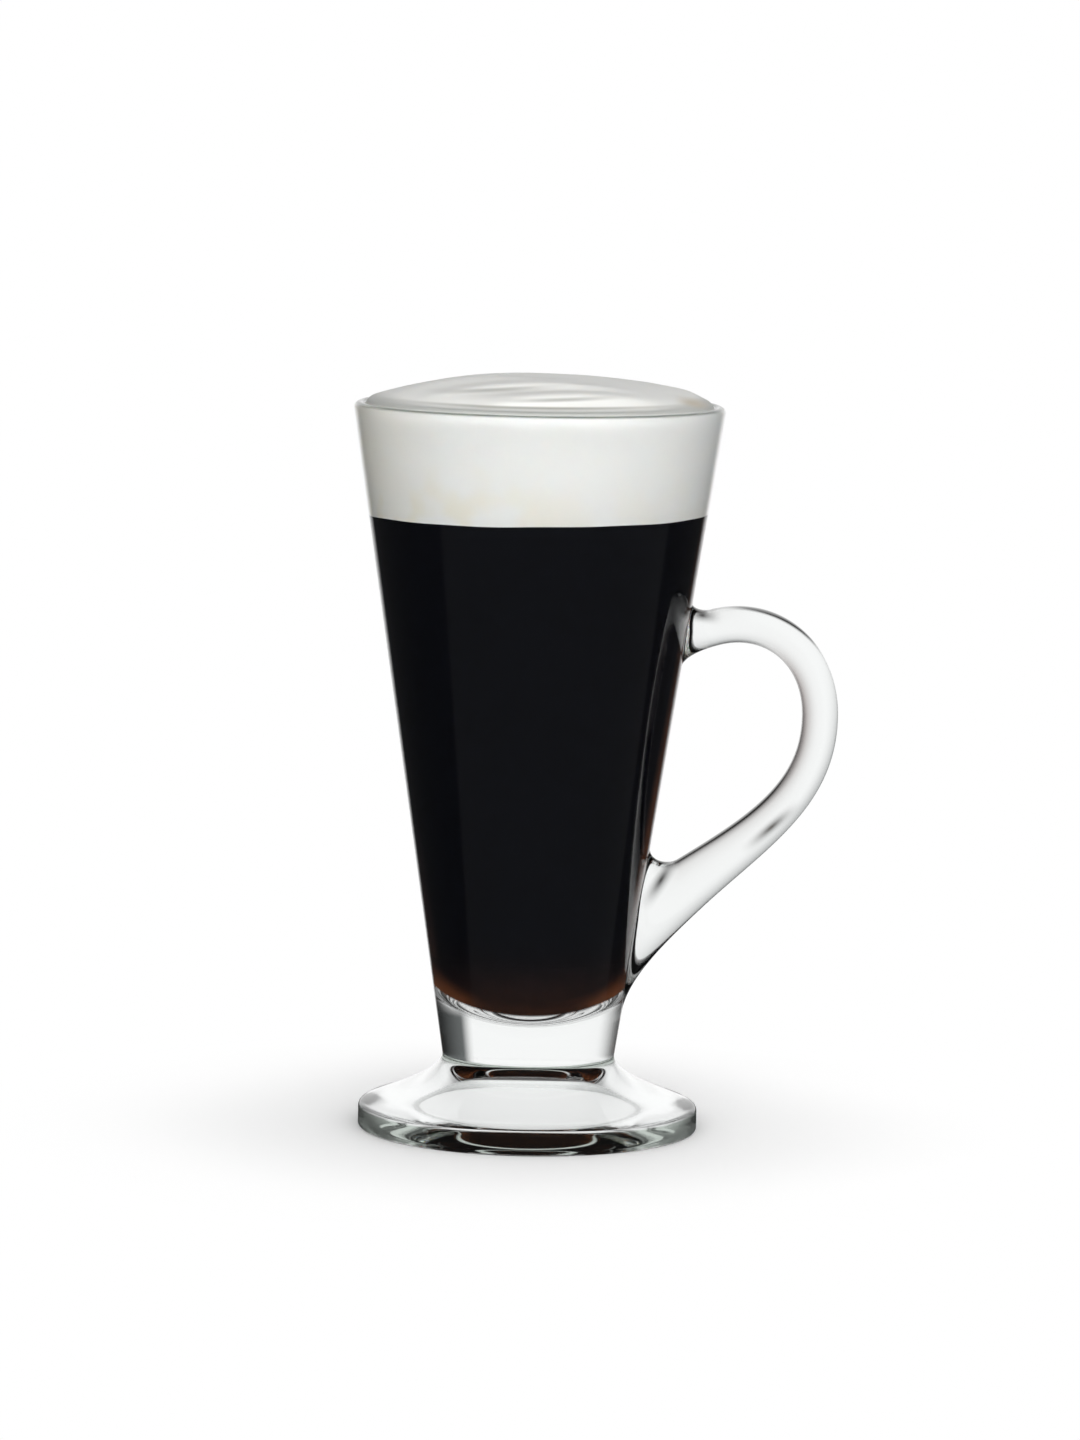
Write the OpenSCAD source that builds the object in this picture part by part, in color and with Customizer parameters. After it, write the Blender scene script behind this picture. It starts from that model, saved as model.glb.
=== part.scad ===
// Footed glass mug with a loop handle, filled with black coffee under a head of cream.
// Millimetres. The origin is the centre of the ring that the foot stands on, +Z is up,
// and the handle stands out towards +X.

/* [Foot] */
// Diameter of the foot
foot_d = 68.8; // [62:0.2:78]
// Height of the foot, from the table to the neck that carries the bowl
foot_h = 15.2; // [14:0.2:18]
// Top of the upright edge round the foot
foot_edge_h = 3.9; // [3:0.1:4.4]
// Height of the sloping top where it would meet the edge
foot_slope_low_h = 4.8; // [4.2:0.1:6]
// Height of the sloping top where it would meet the neck
foot_slope_high_h = 11.4; // [10:0.1:13]
// Radial width of the rounded shoulder above the edge
foot_shoulder_w = 1.2; // [0.8:0.1:2.4]
// Radial width of the hollow curve from the sloping top up to the neck
foot_fillet_w = 11; // [7:0.1:13]
// Round under the edge, where the foot meets the table
foot_toe_r = 0.8; // [0.4:0.1:1.4]
// Width of the flat ring that the foot stands on
foot_ring_w = 1.1; // [0.8:0.1:3]
// Glass between the top of the hollow under the foot and the neck
foot_roof_h = 1.7; // [1.2:0.1:3]

/* [Bowl] */
// Height of the bowl, from the neck to the rim
bowl_h = 132; // [115:0.2:150]
// Diameter across the outside of the rim
rim_d = 75; // [66:0.5:84]
// Diameter of the neck at the bottom of the bowl
neck_d = 35; // [31:0.2:40]
// Wall at the rim
rim_wall = 2.3; // [1.8:0.1:3]
// Wall where the rounded floor ends
base_wall = 2.9; // [2.2:0.1:3.6]
// Solid glass between the neck and the middle of the floor
base_h = 7.2; // [5:0.2:12]
// Rise of the rounded floor from its middle to the wall
floor_rise = 13; // [8:0.2:18]

/* [Handle] */
// Thickness of the handle's rod, seen from the side
rod_t = 7.3; // [6:0.1:9]
// Width of the handle's rod, across the mug
rod_w = 8.8; // [7:0.1:11]
// How far the middle of the rod stands out from the wall at the belly
belly_out = 29.6; // [24:0.2:36]
// Depth of the belly below the rim
belly_drop = 62.2; // [57:0.2:68]
// Depth of the middle of the upper root below the rim
root_drop = 46.2; // [42:0.2:50]
// Height of the upper root on the wall
root_h = 12.8; // [11:0.2:16]
// Width of the upper root on the wall
root_w = 11.6; // [10:0.2:14]
// How far the upper root's flare reaches out from the wall
root_reach = 5.6; // [4:0.1:8]
// Rise of the rod over the upper root's flare
root_rise = 1.7; // [0:0.1:3]
// Slope of the rod where it leaves the upper root
root_slope = 15; // [5:1:25]
// Depth of the tail's top below the rim, where the finger gap ends
tail_drop = 89.5; // [86:0.5:95]
// Length of the tail along the wall
tail_h = 34.1; // [30:0.1:38]
// Width of the tail on the wall
tail_w = 10.4; // [9:0.2:13]
// Thickness of the rod where the tail begins
tail_t = 10.6; // [8:0.1:12]
// How far out from the wall the tail begins
tail_reach = 9.8; // [8:0.2:12]
// How far below the top of the tail it begins
tail_fall = 6.6; // [4:0.2:8]
// Slope of the rod where the tail begins
tail_slope = 38; // [32:1:44]
// Angle that each edge of the rod spreads by where the tail begins
tail_spread = 6; // [2:1:10]

/* [Drink] */
// Depth of the cream from the rim down to the coffee
cream_depth = 22; // [12:0.2:40]
// Rise of the cream's dome above the rim
cream_rise = 6; // [4:0.1:9]
// Height of the cream's rounded edge above the rim
cream_edge_h = 0.6; // [0.3:0.1:1.5]
// Radial width of the cream's rounded edge
cream_edge_w = 1.6; // [0.8:0.1:2.4]

/* [Hidden] */
$fn = 96;

foot_r = foot_d / 2;
neck_r = neck_d / 2;
rim_r = rim_d / 2;
rim_z = foot_h + bowl_h;
floor_z = foot_h + base_h;
floor_edge_z = floor_z + floor_rise;
rim_round = rim_wall / 2;
coffee_z = rim_z - cream_depth;
belly_z = rim_z - belly_drop;
root_z = rim_z - root_drop;
tail_top_z = rim_z - tail_drop;
tail_foot_z = tail_top_z - tail_h;
tail_z = tail_top_z - tail_fall;

// Depth that the handle's ends run into the wall before they are cut back to it
root_sink = 0.6;
// Points along each rounded corner of a turned profile
corner_steps = 8;
// Points along the hollow under the foot
hollow_steps = 16;
// Points round the handle's section, and rings along each of its stretches
section_steps = 20;
loop_steps = 10;
root_steps = 7;

// Pulls of the bell-shaped hollow under the foot: level at its middle, and level at the ring
hollow_pull_shares = [0.4, 0.54];
// Pull of the rod's curve at its root, above and below the belly, and at its tail
loop_pull_shares = [0.43, 0.46, 0.37, 0.41];
// Pull of the upper root's edges along the rod and along the wall
root_pull_shares = [0.45, 0.2];
// Pull of the tail's lower edge along the rod and along the wall
tail_pull_shares = [0.5, 0.23];
// Pull of the finger gap's corner along the rod and along the wall
crotch_pull_shares = [0.4, 0.45];

glass_colour = [0.80, 0.87, 0.86, 0.45];
coffee_colour = [0.06, 0.045, 0.04];
cream_colour = [0.93, 0.92, 0.88];

// Radius of the bowl's outer wall at height z
function wall_r(z) = neck_r + (rim_r - neck_r) * (z - foot_h) / bowl_h;

// Radius of the bowl's inner wall at height z
function inner_r(z) =
    let (low = wall_r(floor_edge_z) - base_wall, high = wall_r(rim_z) - rim_wall)
    low + (high - low) * (z - floor_edge_z) / (rim_z - floor_edge_z);

// Quadratic and cubic curves through their end points
function curve3(p, t) = p[0] * pow(1 - t, 2) + 2 * p[1] * t * (1 - t) + p[2] * pow(t, 2);
function curve4(p, t) =
    p[0] * pow(1 - t, 3) + 3 * p[1] * t * pow(1 - t, 2) + 3 * p[2] * pow(t, 2) * (1 - t) + p[3] * pow(t, 3);
function curve4_way(p, t) =
    let (d = (p[1] - p[0]) * pow(1 - t, 2) + 2 * (p[2] - p[1]) * t * (1 - t) + (p[3] - p[2]) * pow(t, 2))
    d / norm(d);
function corner(p) = [for (i = [0 : corner_steps]) curve3(p, i / corner_steps)];

// Rounded floor of the bowl, from the wall to the middle, as a quarter of an ellipse
function floor_points() =
    [for (i = [0 : corner_steps])
        let (a = 90 * (1 - i / corner_steps))
        [inner_r(floor_edge_z) * sin(a), floor_edge_z - floor_rise * cos(a)]];

// Half round of the rim, from the outer wall over to the inner wall
function rim_points() =
    let (z = rim_z - rim_round, middle = (wall_r(z) + inner_r(z)) / 2, half = (wall_r(z) - inner_r(z)) / 2)
    [for (i = [0 : corner_steps])
        let (a = 180 * i / corner_steps)
        [middle + half * cos(a), z + rim_round * sin(a)]];

module bowl() {
    color(glass_colour)
        rotate_extrude()
            polygon(concat(
                [[0, foot_h], [neck_r, foot_h]],
                rim_points(),
                floor_points()));
}

// Height of the foot's sloping top at radius r
function slope_z(r) =
    foot_slope_high_h + (foot_slope_low_h - foot_slope_high_h) * (r - neck_r) / (foot_r - neck_r);

module foot() {
    hollow_r = foot_r - foot_toe_r - foot_ring_w;
    hollow_h = foot_h - foot_roof_h;
    hollow = [
        [0, hollow_h], [hollow_r * hollow_pull_shares[0], hollow_h],
        [hollow_r * hollow_pull_shares[1], 0], [hollow_r, 0]];
    hollow_points = [for (i = [0 : hollow_steps]) curve4(hollow, i / hollow_steps)];
    toe = [[foot_r - foot_toe_r, 0], [foot_r, 0], [foot_r, foot_toe_r]];
    shoulder_r = foot_r - foot_shoulder_w;
    shoulder = [[foot_r, foot_edge_h], [foot_r, slope_z(foot_r)], [shoulder_r, slope_z(shoulder_r)]];
    fillet_r = neck_r + foot_fillet_w;
    waist_r = wall_r(foot_slope_high_h);
    fillet = [[fillet_r, slope_z(fillet_r)], [waist_r, slope_z(waist_r)], [neck_r, foot_h]];
    color(glass_colour)
        rotate_extrude()
            polygon(concat(hollow_points, corner(toe), corner(shoulder), corner(fillet), [[0, foot_h]]));
}

// Points on the outer wall, and the way up it, in the handle's own plane of X and Z
function on_wall(z) = [wall_r(z), z];
function wall_way() = let (d = [rim_r - neck_r, bowl_h]) d / norm(d);
function turned_left(d) = [-d[1], d[0]];
function way_at(slope) = [cos(slope), sin(slope)];

// Middle of the rod: where the root's flare ends, at the belly, and where the tail begins
rod_start = on_wall(root_z) + [root_reach, root_rise];
rod_belly = on_wall(belly_z) + [belly_out, 0];
rod_end = on_wall(tail_z) + [tail_reach, 0];
start_way = way_at(root_slope);
end_way = -way_at(tail_slope);
upper_span = norm(rod_belly - rod_start);
lower_span = norm(rod_end - rod_belly);
upper_curve = [
    rod_start,
    rod_start + start_way * upper_span * loop_pull_shares[0],
    rod_belly + [0, upper_span * loop_pull_shares[1]],
    rod_belly];
lower_curve = [
    rod_belly,
    rod_belly - [0, lower_span * loop_pull_shares[2]],
    rod_end - end_way * lower_span * loop_pull_shares[3],
    rod_end];

// A ring of the handle is its outer edge, its inner edge, its half width,
// and how far it wraps round the bowl: 0 is flat, 1 follows the wall.
function rod_ring(curve, t, thick) =
    let (middle = curve4(curve, t), side = turned_left(curve4_way(curve, t)) * thick / 2)
    [middle + side, middle - side, rod_w / 2, 0];

// Rings from the wall to a ring of the rod. The edges leave the rod along its way
// and meet the wall along the wall, so both corners are rounded.
function wall_rings(ring, outer_way, inner_way, outer_z, inner_z, width, outer_pulls, inner_pulls, sense) =
    let (sink = [root_sink, 0], up = wall_way() * sense,
         outer_gap = norm(ring[0] - on_wall(outer_z)), inner_gap = norm(ring[1] - on_wall(inner_z)),
         outer = [on_wall(outer_z) - sink, on_wall(outer_z) - up * outer_gap * outer_pulls[1],
                  ring[0] - outer_way * outer_gap * outer_pulls[0], ring[0]],
         inner = [on_wall(inner_z) - sink, on_wall(inner_z) + up * inner_gap * inner_pulls[1],
                  ring[1] - inner_way * inner_gap * inner_pulls[0], ring[1]])
    [for (i = [0 : root_steps - 1])
        let (t = i / root_steps)
        [curve4(outer, t), curve4(inner, t), (width + (rod_w - width) * t * (2 - t)) / 2, pow(1 - t, 2)]];

function backwards(list) = [for (i = [len(list) - 1 : -1 : 0]) list[i]];

function handle_rings() =
    let (upper = [for (i = [0 : loop_steps]) rod_ring(upper_curve, i / loop_steps, rod_t)],
         lower = [for (i = [1 : loop_steps])
             let (t = i / loop_steps)
             rod_ring(lower_curve, t, rod_t + (tail_t - rod_t) * pow(t, 3))],
         root = wall_rings(upper[0], start_way, start_way, root_z + root_h / 2, root_z - root_h / 2,
                           root_w, root_pull_shares, root_pull_shares, 1),
         tail = wall_rings(lower[loop_steps - 1], way_at(tail_slope + tail_spread),
                           way_at(tail_slope - tail_spread), tail_foot_z, tail_top_z,
                           tail_w, tail_pull_shares, crotch_pull_shares, -1))
    concat(root, upper, lower, backwards(tail));

// Points round one ring, as an ellipse that may wrap round the bowl
function ring_points(ring) =
    [for (i = [0 : section_steps - 1])
        let (a = 360 * i / section_steps,
             p = (ring[0] + ring[1]) / 2 + (ring[0] - ring[1]) / 2 * cos(a),
             y = ring[2] * sin(a),
             r = wall_r(p[1]),
             wrap = ring[3] * (r - sqrt(pow(r, 2) - pow(y, 2))))
        [p[0] - wrap, y, p[1]]];

module handle_rod() {
    rings = handle_rings();
    count = len(rings);
    n = section_steps;
    ends = [for (ring = [rings[0], rings[count - 1]])
        let (p = (ring[0] + ring[1]) / 2) [p[0], 0, p[1]]];
    points = concat([for (ring = rings) each ring_points(ring)], ends);
    sides = [for (k = [0 : count - 2], i = [0 : n - 1])
        let (a = k * n + i, b = k * n + (i + 1) % n)
        each [[a, b, b + n], [a, b + n, a + n]]];
    first = [for (i = [0 : n - 1]) [count * n, (i + 1) % n, i]];
    last = [for (i = [0 : n - 1])
        let (base = (count - 1) * n) [count * n + 1, base + i, base + (i + 1) % n]];
    polyhedron(points, concat(sides, first, last));
}

// The handle ends face to face with the bowl's wall
module handle() {
    color(glass_colour)
        difference() {
            handle_rod();
            translate([0, 0, foot_h])
                cylinder(h = bowl_h, r1 = neck_r, r2 = rim_r);
        }
}

module coffee() {
    color(coffee_colour)
        rotate_extrude()
            polygon(concat(
                [[0, coffee_z], [inner_r(coffee_z), coffee_z]],
                floor_points()));
}

// Height of the cream's dome at radius r, between its edge and its middle
function cream_z(r) =
    let (edge_r = inner_r(rim_z - rim_round))
    rim_z + cream_rise - (cream_rise - cream_edge_h) * pow(r / edge_r, 2);

module cream_head() {
    wall_z = rim_z - rim_round;
    edge_r = inner_r(wall_z);
    shoulder_r = edge_r - cream_edge_w;
    edge = [[edge_r, wall_z], [edge_r, cream_z(edge_r)], [shoulder_r, cream_z(shoulder_r)]];
    dome = [for (i = [1 : corner_steps])
        let (r = shoulder_r * (1 - i / corner_steps))
        [r, cream_z(r)]];
    color(cream_colour)
        rotate_extrude()
            polygon(concat(
                [[0, coffee_z], [inner_r(coffee_z), coffee_z]],
                corner(edge),
                dome));
}

bowl();
foot();
handle();
coffee();
cream_head();
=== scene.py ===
"""Looks of a footed glass mug of black coffee under cream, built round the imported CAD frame.

Sizes are in millimetres, as in the part's source, and meshes are in metres in the same frame:
the origin is the centre of the ring that the foot stands on, +Z is up and the handle stands out to +X.
"""

from __future__ import annotations

import logging
import math
from dataclasses import dataclass
from enum import Enum
from functools import reduce
from typing import Any

import bpy
import numpy as np
from mathutils import Matrix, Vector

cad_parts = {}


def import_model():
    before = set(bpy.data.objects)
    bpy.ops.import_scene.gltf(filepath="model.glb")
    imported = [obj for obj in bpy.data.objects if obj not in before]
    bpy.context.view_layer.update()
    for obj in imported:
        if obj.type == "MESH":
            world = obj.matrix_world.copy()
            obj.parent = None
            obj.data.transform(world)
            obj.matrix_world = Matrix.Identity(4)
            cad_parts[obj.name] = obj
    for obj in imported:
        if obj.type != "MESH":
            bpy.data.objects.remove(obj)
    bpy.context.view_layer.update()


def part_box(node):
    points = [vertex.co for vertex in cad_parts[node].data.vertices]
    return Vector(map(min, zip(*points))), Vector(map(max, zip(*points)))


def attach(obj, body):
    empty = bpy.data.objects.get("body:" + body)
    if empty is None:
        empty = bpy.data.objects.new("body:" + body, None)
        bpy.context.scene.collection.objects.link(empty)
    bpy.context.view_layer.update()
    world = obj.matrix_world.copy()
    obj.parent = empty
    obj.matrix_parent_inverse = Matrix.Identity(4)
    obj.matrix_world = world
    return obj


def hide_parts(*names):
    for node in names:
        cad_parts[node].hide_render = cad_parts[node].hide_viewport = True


Array = np.ndarray
Colour = tuple[float, float, float]
Band = tuple[float, float]
MM = 0.001
TINY = 1e-12
WELD_STEPS_PER_MM = 1e4
WELD_SHIFT = 0.37
LOG = logging.getLogger("glass_mug")


class Skin(Enum):
    """Which of a glass piece's two materials a face takes."""

    CLEAR = 0
    FUSED = 1


def quadratic(points: Any, t: Array) -> Array:
    """Quadratic curve: p0 (1-t)^2 + 2 p1 t (1-t) + p2 t^2.

    Args:
        points: The three control points.
        t: Places along the curve, from 0 to 1.

    Returns:
        One point per place.
    """
    p = np.asarray(points, float)
    t = np.asarray(t, float)[:, None]
    return p[0] * (1 - t) ** 2 + 2 * p[1] * t * (1 - t) + p[2] * t**2


def cubic(points: Any, t: Array) -> Array:
    """Cubic curve: p0 (1-t)^3 + 3 p1 t (1-t)^2 + 3 p2 t^2 (1-t) + p3 t^3.

    Args:
        points: The four control points.
        t: Places along the curve, from 0 to 1.

    Returns:
        One point per place.
    """
    p = np.asarray(points, float)
    t = np.asarray(t, float)[:, None]
    return p[0] * (1 - t) ** 3 + 3 * p[1] * t * (1 - t) ** 2 + 3 * p[2] * t**2 * (1 - t) + p[3] * t**3


def cubic_way(points: Any, t: Array) -> Array:
    """Unit direction of a cubic curve, from the differences of its control points.

    Args:
        points: The four control points.
        t: Places along the curve, from 0 to 1.

    Returns:
        One unit vector per place.
    """
    step = np.diff(np.asarray(points, float), axis=0)
    way = quadratic(step, t)
    return way / np.linalg.norm(way, axis=1, keepdims=True)


def line(start: Any, end: Any, count: int) -> Array:
    """Evenly spaced points from start to end, one per row."""
    return np.linspace(np.asarray(start, float), np.asarray(end, float), count)


def smooth(value: Array, low: float, high: float) -> Array:
    """Soft step: 0 below low, 1 above high, and 3u^2 - 2u^3 between them."""
    u = np.clip((value - low) / (high - low), 0.0, 1.0)
    return u * u * (3 - 2 * u)


def square_to_disc(s: Array, t: Array) -> tuple[Array, Array]:
    """Round a square off: each point keeps its direction, and its larger coordinate becomes its radius.

    Args:
        s: First coordinates, from -1 to 1.
        t: Second coordinates, from -1 to 1.

    Returns:
        The two coordinates on the disc of radius 1.
    """
    far = np.hypot(s, t)
    scale = np.divide(np.maximum(np.abs(s), np.abs(t)), far, out=np.ones_like(far), where=far > 0)
    return s * scale, t * scale


def border_angles(count: int) -> Array:
    """Directions of the points on the border of a square grid, counted from the t axis towards the s axis.

    Args:
        count: Cells along one side of the square.

    Returns:
        The 4 * count angles, rising from 0.
    """
    side = np.linspace(-1, 1, count + 1)
    s, t = np.meshgrid(side, side)
    border = np.maximum(np.abs(s), np.abs(t)) >= 1.0
    return np.sort(np.mod(np.arctan2(s[border], t[border]) + TINY, 2 * np.pi))


def unit(vectors: Array) -> Array:
    """Vectors made one long."""
    return vectors / np.maximum(np.linalg.norm(vectors, axis=-1, keepdims=True), TINY)


def turned(profile: Array, angles: Array) -> tuple[Array, Array]:
    """Turn a profile round the Z axis: x = r cos a, y = r sin a.

    The profile runs with the piece on its left, so its normal is its own direction
    turned a quarter to the right.

    Args:
        profile: Points (r, z) along one smooth stretch, at least three.
        angles: Angles of the columns.

    Returns:
        The grid's points and its normals.
    """
    way = np.gradient(profile, axis=0, edge_order=2)
    out = unit(np.stack([way[:, 1], -way[:, 0]], axis=1))
    c, s = np.cos(angles), np.sin(angles)
    points = np.stack([np.outer(profile[:, 0], c), np.outer(profile[:, 0], s),
                       np.repeat(profile[:, 1:], len(angles), axis=1)], axis=-1)
    normals = np.stack([np.outer(out[:, 0], c), np.outer(out[:, 0], s),
                        np.repeat(out[:, 1:], len(angles), axis=1)], axis=-1)
    return points, normals


class Shell:
    """A closed piece, gathered from grids whose edges meet."""

    def __init__(self, name: str) -> None:
        """Start an empty piece.

        Args:
            name: The name of the piece and its mesh.
        """
        self.name = name
        self.points: list[Array] = []
        self.normals: list[Array] = []
        self.quads: list[Array] = []
        self.skins: list[Array] = []
        self.count = 0

    def add(self, points: Array, normals: Array, skin: Any = Skin.CLEAR, wrap: bool = False) -> None:
        """Add a grid, with its faces turned to the side its normals are on.

        Args:
            points: Grid of points, rows by columns, in millimetres.
            normals: Normal at each point, outwards.
            skin: One Skin for the grid, or the material number of each face.
            wrap: Whether the last column joins the first.
        """
        if wrap:
            points = np.concatenate([points, points[:, :1]], axis=1)
            normals = np.concatenate([normals, normals[:, :1]], axis=1)
        rows, columns = points.shape[:2]
        at = np.arange(rows * columns).reshape(rows, columns)
        quads = np.stack([at[:-1, :-1], at[:-1, 1:], at[1:, 1:], at[1:, :-1]], axis=-1).reshape(-1, 4)
        flat, out = points.reshape(-1, 3), normals.reshape(-1, 3)
        faces = np.cross(flat[quads[:, 2]] - flat[quads[:, 0]], flat[quads[:, 3]] - flat[quads[:, 1]])
        if np.sum(faces * out[quads].sum(axis=1)) < 0:
            quads = quads[:, ::-1]
        numbers = np.full(len(quads), skin.value) if isinstance(skin, Skin) else np.asarray(skin).reshape(-1)
        self.points.append(flat)
        self.normals.append(out)
        self.quads.append(quads + self.count)
        self.skins.append(numbers)
        self.count += len(flat)

    def build(self, materials: list[bpy.types.Material]) -> bpy.types.Object:
        """Weld the grids along their edges and make the object, at the origin.

        Points that fall in the same small step of space are one; the shift keeps round sizes away from
        the steps' borders. Cells that shrink to three corners at a pole become triangles. Each corner
        keeps the normal of the grid that it came from.

        Args:
            materials: The piece's materials, in the order of the faces' numbers.

        Returns:
            The new object.
        """
        points, normals = np.concatenate(self.points), np.concatenate(self.normals)
        quads, skins = np.concatenate(self.quads), np.concatenate(self.skins)
        places = np.floor(points * WELD_STEPS_PER_MM + WELD_SHIFT).astype(np.int64)
        _, first, back = np.unique(places, axis=0, return_index=True, return_inverse=True)
        welded = back.reshape(-1)[quads]
        same = welded == np.roll(welded, -1, axis=1)
        whole = ~same.any(axis=1)
        faces, corners, numbers = welded[whole].tolist(), [quads[whole].reshape(-1)], [skins[whole]]
        for lost in range(4):
            pick = same[:, lost] & (same.sum(axis=1) == 1)
            keep = [k for k in range(4) if k != lost]
            faces += welded[pick][:, keep].tolist()
            corners.append(quads[pick][:, keep].reshape(-1))
            numbers.append(skins[pick])
        mesh = bpy.data.meshes.new(self.name)
        mesh.from_pydata((points[first] * MM).tolist(), [], faces)
        for material in materials:
            mesh.materials.append(material)
        mesh.polygons.foreach_set("material_index", np.concatenate(numbers).astype(np.int32))
        mesh.shade_smooth()
        mesh.normals_split_custom_set(unit(normals[np.concatenate(corners)]).tolist())
        mesh.update()
        piece = bpy.data.objects.new(self.name, mesh)
        bpy.context.scene.collection.objects.link(piece)
        return piece


def settle(piece: bpy.types.Object, node: str) -> None:
    """Let a piece stand for a CAD node on the one body, and report it.

    Args:
        piece: The new piece.
        node: The CAD node that it replaces.
    """
    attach(piece, "root")
    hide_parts(node)
    LOG.info("%s stands for %s: %d faces", piece.name, node, len(piece.data.polygons))


class NodeSheet:
    """Adds nodes to the tree of a material or world and links them."""

    def __init__(self, tree: bpy.types.NodeTree) -> None:
        """Empty the tree."""
        self.tree = tree
        tree.nodes.clear()

    def add(self, kind: str, inputs: dict[Any, Any] | None = None, **settings: Any) -> bpy.types.Node:
        """Add a node.

        Args:
            kind: The node's type.
            inputs: For each input, by name or place, another node's output or a plain value.
            settings: The node's own properties.

        Returns:
            The node.
        """
        node = self.tree.nodes.new(kind)
        for key, value in settings.items():
            setattr(node, key, value)
        for key, value in (inputs or {}).items():
            if isinstance(value, bpy.types.NodeSocket):
                self.tree.links.new(value, node.inputs[key])
            else:
                node.inputs[key].default_value = value
        return node

    def math(self, operation: str, *values: Any) -> bpy.types.NodeSocket:
        """Output of a Math node on one, two or three values."""
        return self.add("ShaderNodeMath", dict(enumerate(values)), operation=operation).outputs[0]

    def times(self, *values: Any) -> bpy.types.NodeSocket:
        """Product of two or more values."""
        return reduce(lambda product, value: self.math("MULTIPLY", product, value), values)

    def step(self, value: Any, low: float, high: float, start: float = 0.0,
             end: float = 1.0) -> bpy.types.NodeSocket:
        """Output of a soft step, from start where the value is below low to end where it is above high."""
        return self.add("ShaderNodeMapRange", {"Value": value, "From Min": low, "From Max": high,
                                               "To Min": start, "To Max": end},
                        interpolation_type="SMOOTHSTEP").outputs[0]

    def step_mm(self, value: Any, band: Band, start: float = 0.0, end: float = 1.0) -> bpy.types.NodeSocket:
        """Output of a soft step of a length, over a band in millimetres."""
        return self.step(value, band[0] * MM, band[1] * MM, start, end)

    def mix(self, factor: Any, first: Any, second: Any) -> bpy.types.NodeSocket:
        """Output of a colour mix, whose factor is the share of the second colour."""
        ends = [value if isinstance(value, bpy.types.NodeSocket) else (*value[:3], 1.0)
                for value in (first, second)]
        return self.add("ShaderNodeMix", {0: factor, 6: ends[0], 7: ends[1]}, data_type="RGBA").outputs[2]

    def noise(self, place: Any, size_mm: float, detail: float = 2.0) -> bpy.types.NodeSocket:
        """Output of a noise texture, around 0.5, whose features are about size_mm across."""
        return self.add("ShaderNodeTexNoise", {"Vector": place, "Scale": 1.0 / (size_mm * MM),
                                               "Detail": detail}).outputs["Fac"]

    def vector(self, operation: str, *values: Any) -> bpy.types.Node:
        """A Vector Math node on one or two vectors."""
        return self.add("ShaderNodeVectorMath", dict(enumerate(values)), operation=operation)

    def dot(self, first: Any, second: Any) -> bpy.types.NodeSocket:
        """Dot product of two vectors."""
        return self.vector("DOT_PRODUCT", first, second).outputs["Value"]

    def level(self, vector: Any) -> bpy.types.NodeSocket:
        """A vector without its height."""
        return self.vector("MULTIPLY", vector, (1.0, 1.0, 0.0)).outputs[0]

    def length(self, vector: Any) -> bpy.types.NodeSocket:
        """Length of a vector."""
        return self.vector("LENGTH", vector).outputs["Value"]

    def axes(self, vector: Any) -> bpy.types.bpy_prop_collection:
        """The X, Y and Z outputs of a vector, by name."""
        return self.add("ShaderNodeSeparateXYZ", {"Vector": vector}).outputs

    def outside(self) -> bpy.types.NodeSocket:
        """1 on a face met from outside, 0 on one met from within."""
        return self.math("SUBTRACT", 1.0, self.add("ShaderNodeNewGeometry").outputs["Backfacing"])

    def place(self) -> bpy.types.NodeSocket:
        """Object coordinates."""
        return self.add("ShaderNodeTexCoord").outputs["Object"]

    def output(self, shader: bpy.types.NodeSocket, kind: str = "ShaderNodeOutputMaterial") -> None:
        """Send a shader to the tree's surface."""
        self.add(kind, {"Surface": shader})


def new_material(name: str) -> tuple[bpy.types.Material, NodeSheet]:
    """An empty material and the sheet that fills it.

    Args:
        name: The material's name.

    Returns:
        The material and its node sheet.
    """
    material = bpy.data.materials.new(name)
    material.use_nodes = True
    return material, NodeSheet(material.node_tree)


@dataclass(frozen=True)
class PaintedEdgeReflection:
    """A painted reflection: a grey laid on the glass where it leans one way, standing for the dark edge of a
    studio seen there.
    """

    towards: tuple[float, float, float]
    start: float
    end: float
    tone: Colour
    top_mm: float = 200.0
    fade_mm: float = 4.0

    def paint(self, sheet: NodeSheet, place: Any, colour: Any) -> bpy.types.NodeSocket:
        """Lay the painted reflection over a colour, only where light enters the glass.

        The glass takes the square root of its colour at each face, so the tone is squared.

        Args:
            sheet: The glass's node sheet.
            place: Object coordinates.
            colour: The colour so far.

        Returns:
            The new colour.
        """
        lean = sheet.dot(sheet.add("ShaderNodeNewGeometry").outputs["Normal"], self.towards)
        share = sheet.step(lean, self.start, self.end)
        low = sheet.step_mm(sheet.axes(place)["Z"], (self.top_mm - self.fade_mm, self.top_mm), 1.0, 0.0)
        share = sheet.times(low, sheet.outside(), share)
        return sheet.mix(share, colour, tuple(c * c for c in self.tone))


@dataclass(frozen=True)
class PaintedDarkStreak:
    """A short soft streak of painted shade and dark reflection, placed and sloped as seen in the handle's
    plane: on the handle it stands for a dark reflection, on the cream for the shade in a hollow between
    folds.
    """

    middle_mm: tuple[float, float]
    slope: float
    half_l: float
    half_w: float
    tone: Colour

    def paint(self, sheet: NodeSheet, place: Any, colour: Any) -> bpy.types.NodeSocket:
        """Lay the painted streak over a colour, only on faces met from outside.

        Args:
            sheet: The material's node sheet.
            place: Object coordinates.
            colour: The colour so far.

        Returns:
            The new colour.
        """
        c, s = math.cos(math.radians(self.slope)), math.sin(math.radians(self.slope))
        x, z = self.middle_mm
        share, away = sheet.outside(), sheet.vector("SUBTRACT", place, (x * MM, 0.0, z * MM)).outputs[0]
        for way, half in (((c, 0.0, s), self.half_l), ((-s, 0.0, c), self.half_w)):
            off = sheet.math("ABSOLUTE", sheet.dot(away, way))
            share = sheet.times(share, sheet.step_mm(off, (0.0, half), 1.0, 0.0))
        return sheet.mix(share, colour, self.tone)


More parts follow.
